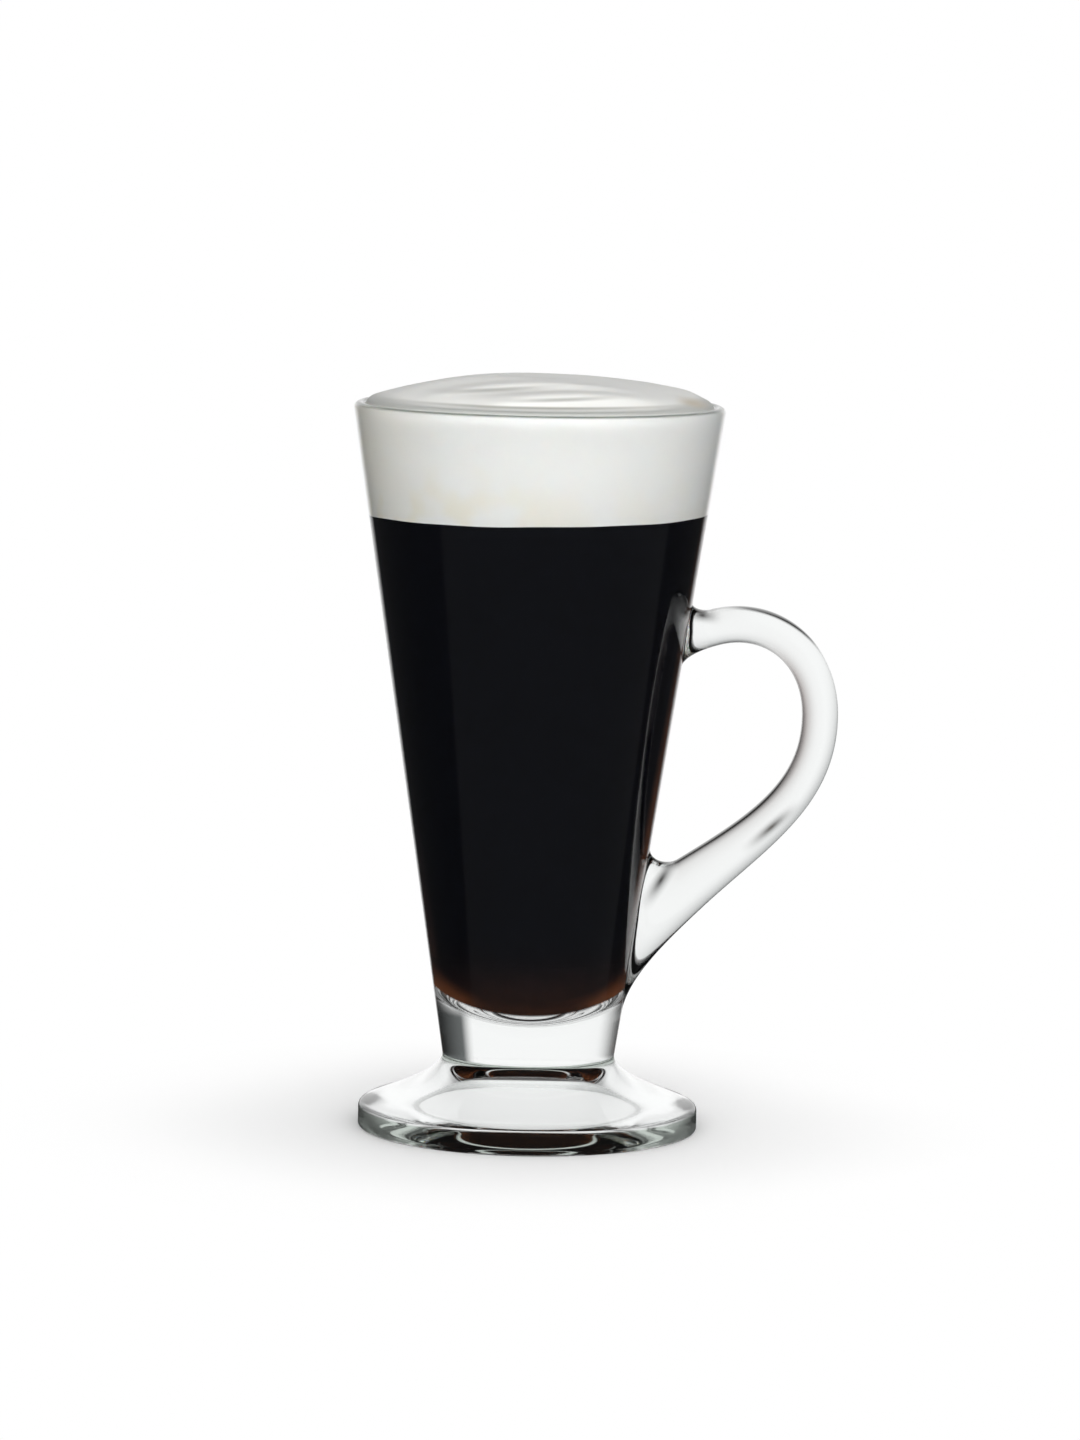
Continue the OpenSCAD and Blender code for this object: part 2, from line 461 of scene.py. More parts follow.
@dataclass(frozen=True)
class ClearGlass:
    """Pressed clear glass: nearly colourless, with the slow waves that a mould leaves."""

    name: str
    tint: Colour = (0.975, 0.99, 0.985)
    ior: float = 1.5
    wave_mm: float = 16.0
    wave_depth_mm: float = 0.03
    smudge_mm: float = 30.0
    smudge_band: Band = (0.35, 0.75)
    rough: float = 0.02
    painted_reflection_tones: tuple[PaintedEdgeReflection | PaintedDarkStreak, ...] = ()

    def material(self) -> bpy.types.Material:
        """Glass with slow waves and faint smudges, and its painted reflections laid over its tint.

        Returns:
            The material.
        """
        material, sheet = new_material(self.name)
        place = sheet.place()
        height = sheet.times(sheet.noise(place, self.wave_mm, detail=1.0), self.wave_depth_mm * MM)
        bump = sheet.add("ShaderNodeBump", {"Strength": 1.0, "Distance": 1.0, "Height": height})
        smudge = sheet.noise(place, self.smudge_mm, detail=3.0)
        smudge = sheet.step(smudge, *self.smudge_band, self.rough / 2, self.rough)
        colour: Any = (*self.tint, 1.0)
        # Painted reflections: greys and dark streaks that stand for the studio's dark edges seen in the
        # glass.
        for tone in self.painted_reflection_tones:
            colour = tone.paint(sheet, place, colour)
        glass = sheet.add("ShaderNodeBsdfPrincipled", {
            "Base Color": colour, "Roughness": smudge, "IOR": self.ior,
            "Transmission Weight": 1.0, "Normal": bump.outputs[0]})
        sheet.output(glass.outputs[0])
        return material


@dataclass(frozen=True)
class FusedJoint:
    """The face on which two pieces of hot glass ran together, where light goes straight through."""

    name: str = "fused_joint"

    def material(self) -> bpy.types.Material:
        """A face that lets everything through.

        Returns:
            The material.
        """
        material, sheet = new_material(self.name)
        sheet.output(sheet.add("ShaderNodeBsdfTransparent").outputs[0])
        return material


@dataclass(frozen=True)
class BlackCoffee:
    """Black coffee in glass: nearly black in its depth, with a painted glow where light would shine through
    thin coffee, and a mirror at a low angle.

    Bands are pairs of where a step begins and ends; shares are how much of a colour is left there.
    """

    name: str = "black_coffee"
    deep: Colour = (0.0026, 0.0030, 0.0052)
    # Painted glow colours, standing for light shining through thin coffee.
    painted_glow_brown: Colour = (0.036, 0.014, 0.008)
    painted_glow_amber: Colour = (0.24, 0.080, 0.032)
    brown_z_mm: Band = (22.0, 46.0)
    brown_power: float = 2.2
    glow_z_mm: Band = (22.0, 74.0)
    drift_mm: float = 3.0
    drift_size_mm: float = 9.0
    corner_mm: Band = (7.0, 15.5)
    middle_share: float = 0.08
    edge_facing: Band = (0.27, 0.33)
    edge_reach_mm: float = 12.0
    edge_share: float = 0.6
    edge_z_mm: Band = (34.0, 60.0)
    edge_low_share: float = 0.1
    thin_facing: float = 0.26
    mirror_facing: float = 0.54
    mirror_soft: float = 0.03
    rough: float = 0.4
    mirror_rough: float = 0.04

    def material(self) -> bpy.types.Material:
        """Dark coffee, painted browner towards the floor as a glow of light shining through it, with a slow
        uneven drift in its depth.

        Light in glass is wholly turned back by coffee once it meets it at more than about 62 degrees,
        where the facing weight, 1 - cos, passes mirror_facing. Short of that a warm glow is painted where
        light would shine through thin coffee: in the corners of its foot, and along its edge on the handle's
        side.

        Returns:
            The material.
        """
        material, sheet = new_material(self.name)
        place = sheet.place()
        axes = sheet.axes(place)
        drift = sheet.noise(place, self.drift_size_mm)
        drift = sheet.math("MULTIPLY_ADD", drift, self.drift_mm * MM, axes["Z"])
        # Painted glow: the colour turns warmer low down, in the corners of the foot and along the edge on the
        # handle's side, standing for light shining through thin coffee.
        low = sheet.step_mm(drift, self.brown_z_mm, 1.0, 0.0)
        tall = sheet.step_mm(drift, self.glow_z_mm, 1.0, 0.0)
        facing = sheet.add("ShaderNodeLayerWeight", {"Blend": 0.5}).outputs["Facing"]
        thin = sheet.step(facing, self.thin_facing, self.mirror_facing)
        corner = sheet.step_mm(sheet.math("ABSOLUTE", axes["X"]), self.corner_mm, self.middle_share, 1.0)
        glow = sheet.times(thin, tall, corner)
        right = sheet.step_mm(axes["X"], (0.0, self.edge_reach_mm), 0.0, self.edge_share)
        tail = sheet.step_mm(axes["Z"], self.edge_z_mm, self.edge_low_share, 1.0)
        edge = sheet.times(sheet.step(facing, *self.edge_facing), right, tail)
        colour = sheet.mix(sheet.math("POWER", low, self.brown_power), self.deep, self.painted_glow_brown)
        colour = sheet.mix(sheet.math("MAXIMUM", glow, edge), colour, self.painted_glow_amber)
        coffee = sheet.add("ShaderNodeBsdfPrincipled", {
            "Base Color": colour, "Roughness": self.rough, "Specular IOR Level": 0.0})
        mirror = sheet.add("ShaderNodeBsdfAnisotropic", {"Roughness": self.mirror_rough})
        turned_back = sheet.step(facing, self.mirror_facing - self.mirror_soft,
                                 self.mirror_facing + self.mirror_soft)
        both = sheet.add("ShaderNodeMixShader", {0: turned_back, 1: coffee.outputs[0], 2: mirror.outputs[0]})
        sheet.output(both.outputs[0])
        return material


@dataclass(frozen=True)
class WhippedCream:
    """Softly whipped cream: off-white, faintly stained by the coffee low down, with fine froth.

    Behind the glass it is fresh and stained; above the rim its colour is painted darker as shade on
    the top, with painted grey shade in a ring inside the rim and in the hollows between its folds.
    """

    name: str = "whipped_cream"
    fresh: Colour = (0.955, 0.952, 0.935)
    stained: Colour = (0.93, 0.88, 0.76)
    pale: Colour = (0.93, 0.93, 0.905)
    # Painted shade: a darker top above the rim and a grey ring inside the rim.
    painted_shade_top: Colour = (0.75, 0.75, 0.725)
    gutter: Colour = (0.36, 0.37, 0.35)
    stain_h_mm: float = 16.0
    stain_size_mm: float = 9.0
    stain_band: Band = (0.40, 0.66)
    stain_x_mm: Band = (-14.0, 14.0)
    stain_right_share: float = 0.35
    left_x_mm: Band = (-37.0, -16.0)
    left_share: float = 0.6
    pale_size_mm: float = 5.0
    pale_band: Band = (0.2, 0.8)
    pale_share: float = 0.25
    shaded_top_mm: Band = (-0.8, 0.2)
    gutter_mm: Band = (30.5, 34.5)
    gutter_share: float = 0.75
    froth_mm: float = 1.6
    froth_depth_mm: float = 0.06
    froth_strength: float = 0.5
    rough: float = 0.45
    gloss: float = 0.35
    scatter_share: float = 0.15
    scatter_mm: float = 1.5
    scatter_reach: Colour = (1.0, 0.8, 0.6)
    # Painted shade: grey streaks in the hollows between the folds.
    painted_valley_shades: tuple[PaintedDarkStreak, ...] = (
        PaintedDarkStreak(middle_mm=(-9.0, 151.2), slope=4.0, half_l=16.0, half_w=0.6, tone=(0.42, 0.42, 0.40)),
        PaintedDarkStreak(middle_mm=(4.0, 149.9), slope=2.0, half_l=16.0, half_w=0.6, tone=(0.40, 0.40, 0.38)),
        PaintedDarkStreak(middle_mm=(0.0, 148.35), slope=0.0, half_l=40.0, half_w=0.45, tone=(0.34, 0.34, 0.31)),
        PaintedDarkStreak(middle_mm=(30.5, 148.6), slope=-12.0, half_l=4.5, half_w=0.9, tone=(0.52, 0.46, 0.36)))

    def material(self, levels: Levels) -> bpy.types.Material:
        """Cream with soft stains above the coffee, painted shade on its top above the rim, and a fine uneven
        froth.

        Args:
            levels: Heights of the coffee and the rim.

        Returns:
            The material.
        """
        material, sheet = new_material(self.name)
        place = sheet.place()
        axes = sheet.axes(place)
        low = sheet.step_mm(axes["Z"], (levels.drink, levels.drink + self.stain_h_mm), 1.0, 0.0)
        patch = sheet.step(sheet.noise(place, self.stain_size_mm), *self.stain_band)
        lean = sheet.step_mm(axes["X"], self.stain_x_mm, 1.0, self.stain_right_share)
        stain_and_left_tint = sheet.times(low, patch, lean)
        # The left side is also tinted towards the stained colour, warmer and darker towards the left.
        stain_and_left_tint = sheet.math("MAXIMUM", stain_and_left_tint, sheet.step_mm(axes["X"], self.left_x_mm, self.left_share, 0.0))
        tone = sheet.noise(place, self.pale_size_mm, detail=3.0)
        tone = sheet.step(tone, *self.pale_band, 0.0, self.pale_share)
        colour = sheet.mix(tone, sheet.mix(stain_and_left_tint, self.fresh, self.stained), self.pale)
        # Painted shade above the rim: a darker top, a grey ring inside the rim and grey streaks in the
        # hollows between the folds.
        shaded = sheet.step_mm(sheet.length(sheet.level(place)), self.gutter_mm, 0.0, self.gutter_share)
        top = sheet.mix(shaded, self.painted_shade_top, self.gutter)
        for valley_shade in self.painted_valley_shades:
            top = valley_shade.paint(sheet, place, top)
        begins, ends = self.shaded_top_mm
        colour = sheet.mix(sheet.step_mm(axes["Z"], (levels.rim + begins, levels.rim + ends)), colour, top)
        froth = sheet.noise(place, self.froth_mm, detail=3.0)
        bump = sheet.add("ShaderNodeBump", {
            "Strength": self.froth_strength, "Distance": self.froth_depth_mm * MM, "Height": froth})
        cream = sheet.add("ShaderNodeBsdfPrincipled", {
            "Base Color": colour, "Roughness": self.rough, "Specular IOR Level": self.gloss,
            "Subsurface Weight": self.scatter_share, "Subsurface Radius": self.scatter_reach,
            "Subsurface Scale": self.scatter_mm * MM, "Normal": bump.outputs[0]})
        sheet.output(cream.outputs[0])
        return material


@dataclass(frozen=True)
class Levels:
    """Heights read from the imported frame, in millimetres."""

    neck: float
    rim: float
    floor: float
    drink: float
    crown: float

    @classmethod
    def from_frame(cls) -> Levels:
        """Heights of the neck, the rim, the bowl's floor, the coffee and the cream's crown."""
        bowl, coffee, cream = (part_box(node) for node in ("bowl", "coffee", "cream_head"))
        return cls(*(round(z / MM, 2) for z in (
            bowl[0].z, bowl[1].z, coffee[0].z, coffee[1].z, cream[1].z)))


@dataclass(frozen=True)
class RootPrint:
    """The oval print of one of the handle's ends on the bowl's wall."""

    middle_z: float
    half_h: float
    half_w: float
    reach: float


@dataclass
class Bowl:
    """The tapered bowl on its solid base, open at the rim."""

    levels: Levels
    rim_d: float = 75.0
    neck_d: float = 35.0
    rim_wall: float = 2.3
    base_wall: float = 2.9
    floor_rise: float = 13.0
    print_cells: int = 24
    print_half: float = 5.5
    sector_half: float = 14.0
    sector_steps: int = 9
    rest_columns: int = 170
    row_mm: float = 1.2
    least_rows: int = 6
    base_rows: int = 8
    rim_rows: int = 25
    inner_rows: int = 60
    floor_rows: int = 20

    @property
    def taper(self) -> float:
        """Gain of the outer radius with each millimetre of height."""
        return (self.rim_d - self.neck_d) / 2 / (self.levels.rim - self.levels.neck)

    @property
    def floor_edge_z(self) -> float:
        """Height at which the rounded floor meets the inner wall."""
        return self.levels.floor + self.floor_rise

    @property
    def rim_start_z(self) -> float:
        """Height at which the rim's half round begins."""
        return self.levels.rim - self.rim_wall / 2

    def wall_r(self, z: Any) -> Any:
        """Radius of the outer wall at height z."""
        return self.neck_d / 2 + self.taper * (z - self.levels.neck)

    def inner_r(self, z: Any) -> Any:
        """Radius of the inner wall, straight from the floor's edge to the rim.

        Args:
            z: Heights.

        Returns:
            The radii.
        """
        low = self.wall_r(self.floor_edge_z) - self.base_wall
        high = self.rim_d / 2 - self.rim_wall
        return low + (high - low) * (z - self.floor_edge_z) / (self.levels.rim - self.floor_edge_z)

    def floor_profile(self, steps: int, grow: float = 0.0) -> Array:
        """Rounded floor from the middle to the wall: a quarter of an ellipse, set into the glass by grow."""
        a = np.linspace(0, np.pi / 2, steps)
        return np.stack([(self.inner_r(self.floor_edge_z) + grow) * np.sin(a),
                         self.floor_edge_z - (self.floor_rise + grow) * np.cos(a)], axis=1)

    def sector_y(self) -> Array:
        """Places across the sector that carries the handle: fine over the prints, wider beside them.

        Returns:
            Distances from the handle's plane, from the near side to the far side.
        """
        inner = np.linspace(-self.print_half, self.print_half, self.print_cells + 1)
        outer = np.linspace(self.print_half, self.sector_half, self.sector_steps)[1:]
        return np.concatenate([-outer[::-1], inner, outer])

    def column_angles(self, z: Any) -> Array:
        """Angles of the wall's columns at given heights.

        Columns keep a fixed distance from the handle's plane in its sector, and share the rest
        of the turn evenly.

        Args:
            z: Heights, one per row.

        Returns:
            Angles, one row per height.
        """
        r = np.atleast_1d(self.wall_r(np.asarray(z, float)))[:, None]
        sector = np.arcsin(self.sector_y()[None, :] / r)
        edge = sector[:, -1:]
        rest = np.linspace(0, 1, self.rest_columns)[None, 1:-1]
        return np.concatenate([sector, edge + (2 * np.pi - 2 * edge) * rest], axis=1)

    def print_grid(self, mark: RootPrint) -> Array:
        """Points of a print: a square grid rounded to its oval and laid on the wall.

        Args:
            mark: The print.

        Returns:
            The grid of points.
        """
        side = np.linspace(-1, 1, self.print_cells + 1)
        s, t = square_to_disc(*np.meshgrid(side, side))
        y, z = s * mark.half_w, mark.middle_z + t * mark.half_h
        return np.stack([np.sqrt(self.wall_r(z) ** 2 - y**2), y, z], axis=-1)

    def wall_normals(self, points: Array) -> Array:
        """Normals of the tapered wall: outwards, and down by the taper."""
        around = unit(points * np.array([1.0, 1.0, 0.0]))
        return unit(around - np.array([0.0, 0.0, self.taper]))

    def wall(self, marks: list[RootPrint]) -> tuple[Array, Array, Array]:
        """Outer wall, whose grid lines follow the outline of each print of the handle.

        A square of cells is rounded to the oval of each print, and the change fades out
        over a band round it.

        Args:
            marks: The handle's prints, from the lowest up.

        Returns:
            The grid's points, its normals, and the material number of each face.
        """
        stops, rows, slack = [self.levels.neck], [], 1e-9
        for mark in marks:
            stops += [mark.middle_z - mark.half_h, mark.middle_z + mark.half_h]
        stops.append(self.rim_start_z)
        for k, (low, high) in enumerate(zip(stops[:-1], stops[1:])):
            cells = self.print_cells if k % 2 else max(self.least_rows, int((high - low) / self.row_mm))
            rows.append(np.linspace(low, high, cells + 1)[:-1])
        z = np.append(np.concatenate(rows), self.rim_start_z)
        angles = self.column_angles(z)
        z = np.repeat(z[:, None], angles.shape[1], axis=1)
        x, y = self.wall_r(z) * np.cos(angles), self.wall_r(z) * np.sin(angles)
        held = np.arange(angles.shape[1]) < len(self.sector_y())
        skins = np.zeros((z.shape[0] - 1, z.shape[1]), int)
        for mark in marks:
            s, t = y / self.print_half, (z - mark.middle_z) / mark.half_h
            larger = np.where(held, np.maximum(np.abs(s), np.abs(t)), np.inf)
            far = np.maximum(np.hypot(s, t), slack)
            inside, around = larger <= 1 + slack, (larger > 1 + slack) & (larger < mark.reach)
            grade = np.where(inside, larger, 1.0)
            oval_y, oval_z = s / far * grade * mark.half_w, t / far * grade * mark.half_h
            ends = np.where(around, mark.reach / np.maximum(larger, 1.0), 1.0)
            share = np.where(around, (larger - 1) / (mark.reach - 1), 0.0)
            new_y = oval_y + (s * self.print_half * ends - oval_y) * share
            new_z = oval_z + (t * mark.half_h * ends - oval_z) * share
            moved = inside | around
            y = np.where(moved, new_y, y)
            z = np.where(moved, mark.middle_z + new_z, z)
            closed = np.concatenate([inside, inside[:, :1]], axis=1)
            full = closed[:-1, :-1] & closed[:-1, 1:] & closed[1:, :-1] & closed[1:, 1:]
            skins[full] = Skin.FUSED.value
        x = np.where(held, np.sqrt(self.wall_r(z) ** 2 - np.where(held, y, 0.0) ** 2), x)
        points = np.stack([x, y, z], axis=-1)
        return points, self.wall_normals(points), skins

    def rim_profile(self, steps: int) -> Array:
        """Half round of the rim, from the outer wall over to the inner wall.

        Args:
            steps: Number of points.

        Returns:
            Points (r, z).
        """
        z, a = self.rim_start_z, np.linspace(0, np.pi, steps)
        outer, inner = self.wall_r(z), self.inner_r(z)
        return np.stack([(outer + inner) / 2 + (outer - inner) / 2 * np.cos(a),
                         z + self.rim_wall / 2 * np.sin(a)], axis=1)

    def build(self, marks: list[RootPrint], glass: ClearGlass, joint: FusedJoint) -> None:
        """Make the bowl and dress it in glass.

        Apart from the outer wall, its surfaces are profiles turned round the axis.

        Args:
            marks: The handle's prints on the wall.
            glass: The glass.
            joint: The finish of the faces fused to the foot and the handle.
        """
        shell = Shell("bowl_glass")
        neck, rim = self.column_angles(self.levels.neck)[0], self.column_angles(self.rim_start_z)[0]
        low = self.levels.neck
        base = line((0, low), (self.neck_d / 2, low), self.base_rows)
        shell.add(*turned(base, neck), skin=Skin.FUSED, wrap=True)
        points, normals, skins = self.wall(marks)
        shell.add(points, normals, skins, wrap=True)
        shell.add(*turned(self.rim_profile(self.rim_rows), rim), wrap=True)
        inner = line((self.inner_r(self.rim_start_z), self.rim_start_z),
                     (self.inner_r(self.floor_edge_z), self.floor_edge_z), self.inner_rows)
        shell.add(*turned(inner, rim), wrap=True)
        shell.add(*turned(self.floor_profile(self.floor_rows)[::-1], rim), wrap=True)
        settle(shell.build([glass.material(), joint.material()]), "bowl")


@dataclass
class Foot:
    """The broad sloping foot, fused to the neck of the bowl."""

    bowl: Bowl
    foot_d: float = 68.8
    edge_h: float = 3.9
    slope_low_h: float = 4.8
    slope_high_h: float = 11.4
    shoulder_w: float = 1.2
    fillet_w: float = 11.0
    toe_r: float = 0.8
    hollow_d: float = 65.0
    hollow_h: float = 13.5
    hollow_pull_shares: tuple[float, float] = (0.4, 0.54)
    columns: int = 480
    hollow_rows: int = 60
    corner_rows: int = 15
    fillet_rows: int = 30
    straight_rows: tuple[int, int, int] = (6, 5, 8)

    def slope_z(self, r: Any) -> Any:
        """Height of the straight sloping top at radius r."""
        neck_r, foot_r = self.bowl.neck_d / 2, self.foot_d / 2
        return self.slope_high_h + (self.slope_low_h - self.slope_high_h) * (r - neck_r) / (foot_r - neck_r)

    def profile(self) -> list[Array]:
        """Stretches of the foot's outline, from under its middle round to the neck.

        The hollow under the foot is one cubic curve, level in its middle and at the ring that the foot
        stands on, so it is shaped like a bell. The toe, the shoulder and the sweep up to the neck are
        quadratic curves that leave the straight stretches along them.

        Returns:
            The stretches, as points (r, z).
        """
        foot_r, neck_r, neck_z = self.foot_d / 2, self.bowl.neck_d / 2, self.bowl.levels.neck
        shoulder_r, fillet_r = foot_r - self.shoulder_w, neck_r + self.fillet_w
        waist_r = self.bowl.wall_r(self.slope_high_h)
        toe = ((foot_r - self.toe_r, 0), (foot_r, 0), (foot_r, self.toe_r))
        shoulder = ((foot_r, self.edge_h), (foot_r, self.slope_z(foot_r)),
                    (shoulder_r, self.slope_z(shoulder_r)))
        fillet = ((fillet_r, self.slope_z(fillet_r)), (waist_r, self.slope_z(waist_r)), (neck_r, neck_z))
        hollow_r, (top_share, low_share) = self.hollow_d / 2, self.hollow_pull_shares
        hollow = ((0, self.hollow_h), (hollow_r * top_share, self.hollow_h), (hollow_r * low_share, 0),
                  (hollow_r, 0))
        t, (ring, edge, slope) = np.linspace(0, 1, self.corner_rows), self.straight_rows
        return [cubic(hollow, np.linspace(0, 1, self.hollow_rows)), line(hollow[3], toe[0], ring),
                quadratic(toe, t), line(toe[2], shoulder[0], edge), quadratic(shoulder, t),
                line(shoulder[2], fillet[0], slope), quadratic(fillet, np.linspace(0, 1, self.fillet_rows))]

    def build(self, glass: ClearGlass, joint: FusedJoint) -> None:
        """Make the foot and dress it in glass.

        Each stretch of its profile is turned round the axis.

        Args:
            glass: The glass.
            joint: The finish of the face fused to the bowl.
        """
        shell = Shell("foot_glass")
        angles = np.linspace(0, 2 * np.pi, self.columns + 1)[:-1]
        for stretch in self.profile():
            shell.add(*turned(stretch, angles), wrap=True)
        neck_z = self.bowl.levels.neck
        top = line((self.bowl.neck_d / 2, neck_z), (0, neck_z), self.bowl.base_rows)
        shell.add(*turned(top, angles), skin=Skin.FUSED, wrap=True)
        settle(shell.build([glass.material(), joint.material()]), "foot")


@dataclass
class Handle:
    """The looped handle: a rod that flares into the wall above and runs down into it in a tail below."""

    bowl: Bowl
    rod_t: float = 7.3
    rod_w: float = 8.8
    belly_out: float = 29.6
    belly_drop: float = 62.2
    root_drop: float = 46.2
    root_h: float = 12.8
    root_w: float = 11.6
    root_reach: float = 5.6
    root_rise: float = 1.7
    root_slope: float = 15.0
    tail_drop: float = 89.5
    tail_h: float = 34.1
    tail_w: float = 10.4
    tail_t: float = 10.6
    tail_reach: float = 9.8
    tail_fall: float = 6.6
    tail_slope: float = 38.0
    tail_spread: float = 6.0
    rod_power: float = 2.6
    loop_pull_shares: tuple[float, ...] = (0.43, 0.46, 0.37, 0.41)
    root_pull_shares: tuple[float, ...] = (0.45, 0.2)
    tail_pull_shares: tuple[float, ...] = (0.5, 0.23)
    crotch_pull_shares: tuple[float, ...] = (0.4, 0.45)
    tail_print_reach: float = 1.25
    root_print_reach: float = 1.7
    loop_rows: int = 48
    flare_rows: int = 32
    flare_power: float = 1.3

    def prints(self) -> list[RootPrint]:
        """The tail's and the upper root's prints on the wall."""
        rim = self.bowl.levels.rim
        return [RootPrint(rim - self.tail_drop - self.tail_h / 2, self.tail_h / 2, self.tail_w / 2,
                          self.tail_print_reach),
                RootPrint(rim - self.root_drop, self.root_h / 2, self.root_w / 2, self.root_print_reach)]

    def on_wall(self, z: float) -> Array:
        """Point (x, z) of the wall in the handle's plane."""
        return np.array([self.bowl.wall_r(z), z])

    @staticmethod
    def way(slope: float) -> Array:
        """Unit direction (x, z) at a slope in degrees."""
        return np.array([math.cos(math.radians(slope)), math.sin(math.radians(slope))])

    def rod_rings(self, curve: Any, t: Array, thick: Array) -> Array:
        """Rings of the plain rod along a cubic curve.

        The edges lie half the thickness to either side of the curve, square to its direction.

        Args:
            curve: The curve's control points (x, z).
            t: Places along it.
            thick: The rod's thickness at each place.

        Returns:
            Rows of outer edge x, z, inner edge x, z, half width and wrap round the bowl.
        """
        middle, way = cubic(curve, t), cubic_way(curve, t)
        side = np.stack([-way[:, 1], way[:, 0]], axis=1) * thick[:, None] / 2
        rest = np.tile([self.rod_w / 2, 0.0], (len(t), 1))
        return np.concatenate([middle + side, middle - side, rest], axis=1)

    def wall_rings(self, ring: Array, ways: tuple[Array, Array], heights: tuple[float, float], width: float,
                   pulls: tuple[tuple[float, ...], tuple[float, ...]], sense: int, t: Array) -> Array:
        """Rings from the wall to a ring of the rod, with both corners rounded.

        Each edge is a cubic curve that leaves the wall along the wall and meets the rod along
        the rod. The width falls off as t (2 - t), and the wrap as (1 - t)^2.

        Args:
            ring: The rod's ring.
            ways: The rod's direction at its outer and inner edge.
            heights: Heights of the outer and inner edge on the wall.
            width: Width of the print on the wall.
            pulls: For each edge, its pull along the rod and along the wall.
            sense: 1 where the outer edge is above the inner one on the wall, else -1.
            t: Places from the wall to the rod.

        Returns:
            Rings, as rod_rings gives them.
        """
        up = unit(np.array([self.bowl.taper, 1.0])) * sense
        edges = []
        for end, way, z, pull, turn in zip((ring[0:2], ring[2:4]), ways, heights, pulls, (-1, 1)):
            foot = self.on_wall(z)
            gap = np.linalg.norm(end - foot)
            edges.append(cubic((foot, foot + up * turn * gap * pull[1], end - way * gap * pull[0], end), t))
        half = (width + (self.rod_w - width) * t * (2 - t)) / 2
        return np.concatenate([*edges, half[:, None], ((1 - t) ** 2)[:, None]], axis=1)

    def rings(self) -> Array:
        """All rings of the handle, from its print above to its print below.

        The rod follows two cubic curves that meet upright at the belly, and thickens to the tail with t^3.

        Returns:
            Rings, as rod_rings gives them.
        """
        rim = self.bowl.levels.rim
        root_z, belly_z, top_z = rim - self.root_drop, rim - self.belly_drop, rim - self.tail_drop
        start = self.on_wall(root_z) + [self.root_reach, self.root_rise]
        belly = self.on_wall(belly_z) + [self.belly_out, 0]
        end = self.on_wall(top_z - self.tail_fall) + [self.tail_reach, 0]
        start_way, end_way = self.way(self.root_slope), -self.way(self.tail_slope)
        upper_span, lower_span = np.linalg.norm(belly - start), np.linalg.norm(end - belly)
        pulls = self.loop_pull_shares
        upper = (start, start + start_way * upper_span * pulls[0], belly + [0, upper_span * pulls[1]], belly)
        lower = (belly, belly - [0, lower_span * pulls[2]], end - end_way * lower_span * pulls[3], end)
        t = np.linspace(0, 1, self.loop_rows + 1)
        loop = np.concatenate([
            self.rod_rings(upper, t[:-1], np.full(self.loop_rows, self.rod_t)),
            self.rod_rings(lower, t, self.rod_t + (self.tail_t - self.rod_t) * t**3)])
        near = np.linspace(0, 1, self.flare_rows + 1)[:-1] ** self.flare_power
        root = self.wall_rings(loop[0], (start_way, start_way),
                               (root_z + self.root_h / 2, root_z - self.root_h / 2), self.root_w,
                               (self.root_pull_shares, self.root_pull_shares), 1, near)
        tail = self.wall_rings(loop[-1], (self.way(self.tail_slope + self.tail_spread),
                                          self.way(self.tail_slope - self.tail_spread)),
                               (top_z - self.tail_h, top_z), self.tail_w,
                               (self.tail_pull_shares, self.crotch_pull_shares), -1, near)
        return np.concatenate([root, loop, tail[::-1]])

    def ring_points(self, rings: Array, a: Array) -> Array:
        """Points round each ring: an oval that may wrap round the bowl.

        The oval is an ellipse on the wall and squarer on the rod: with c and s the cosine and sine,
        its reach at an angle is (|c|^n + |s|^n)^(-1/n), with n growing from 2 to rod_power.

        Args:
            rings: The rings.
            a: Angles, from the outer edge.

        Returns:
            Grid of points, one row per ring.
        """
        outer, inner = rings[:, None, 0:2], rings[:, None, 2:4]
        c, s = np.cos(a)[None, :], np.sin(a)[None, :]
        n = 2 + (self.rod_power - 2) * (1 - rings[:, 5:6])
        reach = (np.abs(c) ** n + np.abs(s) ** n) ** (-1 / n)
        p = (outer + inner) / 2 + (outer - inner) / 2 * (reach * c)[..., None]
        y = rings[:, 4:5] * reach * s
        r = self.bowl.wall_r(p[..., 1])
        wrap = rings[:, 5:6] * (r - np.sqrt(r**2 - y**2))
        return np.stack([p[..., 0] - wrap, y, p[..., 1]], axis=-1)

    def build(self, glass: ClearGlass, joint: FusedJoint) -> None:
        """Make the handle and dress it in glass.

        Normals are the cross product of the directions round the rod and along it.

        Args:
            glass: The glass.
            joint: The finish of the two ends fused to the bowl.
        """
        shell = Shell("handle_glass")
        rings, a = self.rings(), border_angles(self.bowl.print_cells)
        points = self.ring_points(rings, a)
        along = np.gradient(points, axis=0)
        nudge = 1e-4
        around = self.ring_points(rings, a + nudge) - self.ring_points(rings, a - nudge)
        normals = unit(np.cross(around, along))
        middle = points.mean(axis=1, keepdims=True)
        if np.sum((points - middle) * normals) < 0:
            normals = -normals
        shell.add(points, normals, wrap=True)
        for mark in self.prints():
            cap = self.bowl.print_grid(mark)
            shell.add(cap, -self.bowl.wall_normals(cap), skin=Skin.FUSED)
        settle(shell.build([glass.material(), joint.material()]), "handle")


